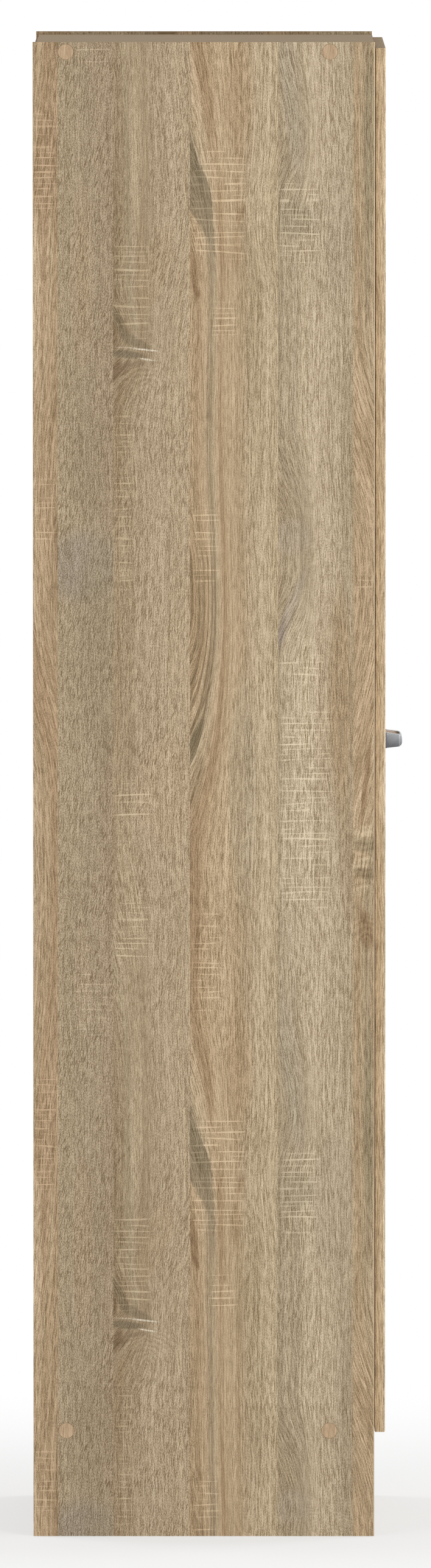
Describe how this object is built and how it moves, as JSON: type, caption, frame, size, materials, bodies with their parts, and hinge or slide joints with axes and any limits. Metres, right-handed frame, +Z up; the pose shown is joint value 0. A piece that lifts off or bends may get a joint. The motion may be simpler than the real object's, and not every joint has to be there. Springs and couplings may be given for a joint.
{
  "type": "pantry cabinet",
  "caption": "Tall narrow pantry cabinet in sawn-oak decor with one overlay door on concealed hinges, a metal bow handle, a fixed middle shelf and loose shelves.",
  "frame": {"origin": "on the floor, under the middle of the whole outline with its handle and cover caps", "axes": "+Z up, -Y to the front (the door side), +X to the hinge side, which is the right side seen from the front"},
  "size_m": [0.5014, 0.493, 2],
  "materials": {
    "decor_board": "matt melamine face printed as rough-sawn light oak",
    "edging": "matt plastic edge band in the same light oak",
    "back_board": "thin hardboard, oak decor inside and raw brown outside",
    "caps": "thin stick-on discs in a warmer oak decor",
    "dowel_wood": "plain beech",
    "plated_steel": "bright nickel-plated steel",
    "zinc": "dull cast zinc",
    "satin_metal": "satin grey metal"
  },
  "bodies": {
    "carcass": {"left_side": "decor_board", "right_side": "decor_board", "top_panel": "decor_board", "bottom_panel": "decor_board", "fixed_shelf": "decor_board", "plinth": "decor_board", "loose_shelf_1": "decor_board", "loose_shelf_2": "decor_board", "loose_shelf_3": "decor_board", "loose_shelf_4": "decor_board", "carcass_edging": "edging", "shelf_edging": "edging", "back_lower": "back_board", "back_upper": "back_board", "connecting_screws": "plated_steel", "cover_caps": "caps", "dowels": "dowel_wood", "cam_locks": "zinc", "cam_bolts": "plated_steel", "shelf_pins": "plated_steel", "hinge_arms": "plated_steel", "arm_pins": "plated_steel", "hinge_plates": "plated_steel", "plate_screws": "plated_steel", "arm_screws": "plated_steel"},
    "outer_links": {"outer_links": "plated_steel"},
    "inner_links": {"inner_links": "plated_steel"},
    "door": {"door_panel": "decor_board", "door_edging": "edging", "handle": "satin_metal", "handle_screws": "plated_steel", "hinge_cups": "plated_steel", "cup_screws": "plated_steel", "cup_pins": "plated_steel"}
  },
  "joints": [
    {"name": "outer_link_swing", "type": "hinge", "parent": "carcass", "child": "outer_links", "pos_m": [0.2144, -0.20655, 1.07333], "axis": [0, 0, -1], "range_deg": [0, 47.5]},
    {"name": "door_swing", "type": "hinge", "parent": "outer_links", "child": "door", "pos_m": [0.23615, -0.21255, 1.07333], "axis": [0, 0, 1], "range_deg": [0, 142.5]},
    {"name": "inner_link_swing", "type": "hinge", "parent": "carcass", "child": "inner_links", "pos_m": [0.2144, -0.21605, 1.07333], "axis": [0, 0, -1], "range_deg": [0, 47.5]}
  ],
  "couplings": [
    {"joint": "outer_link_swing", "follows": "door_swing", "ratio": 0.33333},
    {"joint": "inner_link_swing", "follows": "door_swing", "ratio": 0.33333}
  ]
}
